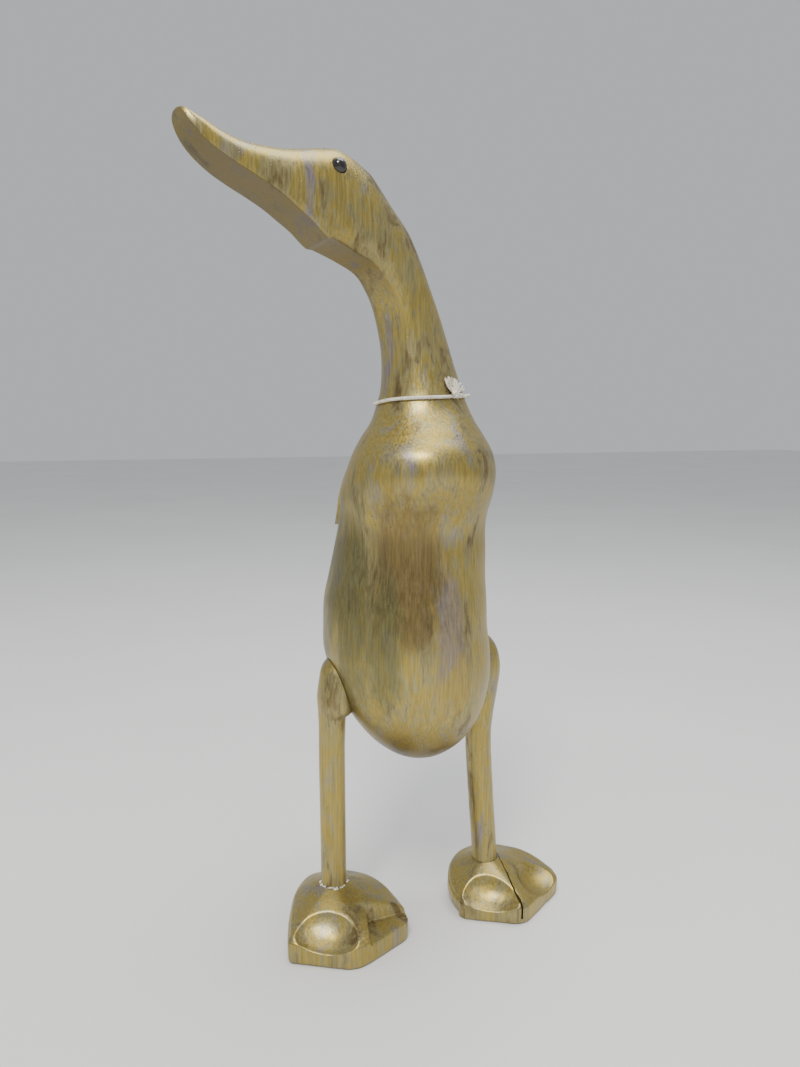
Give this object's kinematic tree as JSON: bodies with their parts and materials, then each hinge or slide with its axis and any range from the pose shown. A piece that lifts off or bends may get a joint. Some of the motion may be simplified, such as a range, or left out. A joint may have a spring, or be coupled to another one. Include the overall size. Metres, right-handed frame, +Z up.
{
  "type": "duck figure",
  "caption": "Standing carved wooden runner duck with a long neck, its head turned to its right, slim legs on broad scooped feet and a cotton string tied round the neck.",
  "frame": {"origin": "on the floor under the soles, in the middle of the outer sizes in plan", "axes": "+Z up; the duck faces -Y and its right side is at -X; the head and bill point to -X"},
  "size_m": [0.2288, 0.1324, 0.4482],
  "materials": {
    "body_paint": "muted metallic gold paint brushed over wood, satin, with browner and greyer patches",
    "leg_paint": "the same gold paint over a straight wooden leg",
    "foot_paint": "the same gold paint over gouged wood, worn at the edges",
    "eye_bead": "glossy black bead",
    "cotton_string": "undyed twisted cotton"
  },
  "bodies": {
    "root": {"body": "body_paint", "leg_right": "leg_paint", "leg_left": "leg_paint", "foot_right": "foot_paint", "foot_left": "foot_paint", "eye_right": "eye_bead", "eye_left": "eye_bead", "neck_string": "cotton_string"}
  },
  "joints": []
}
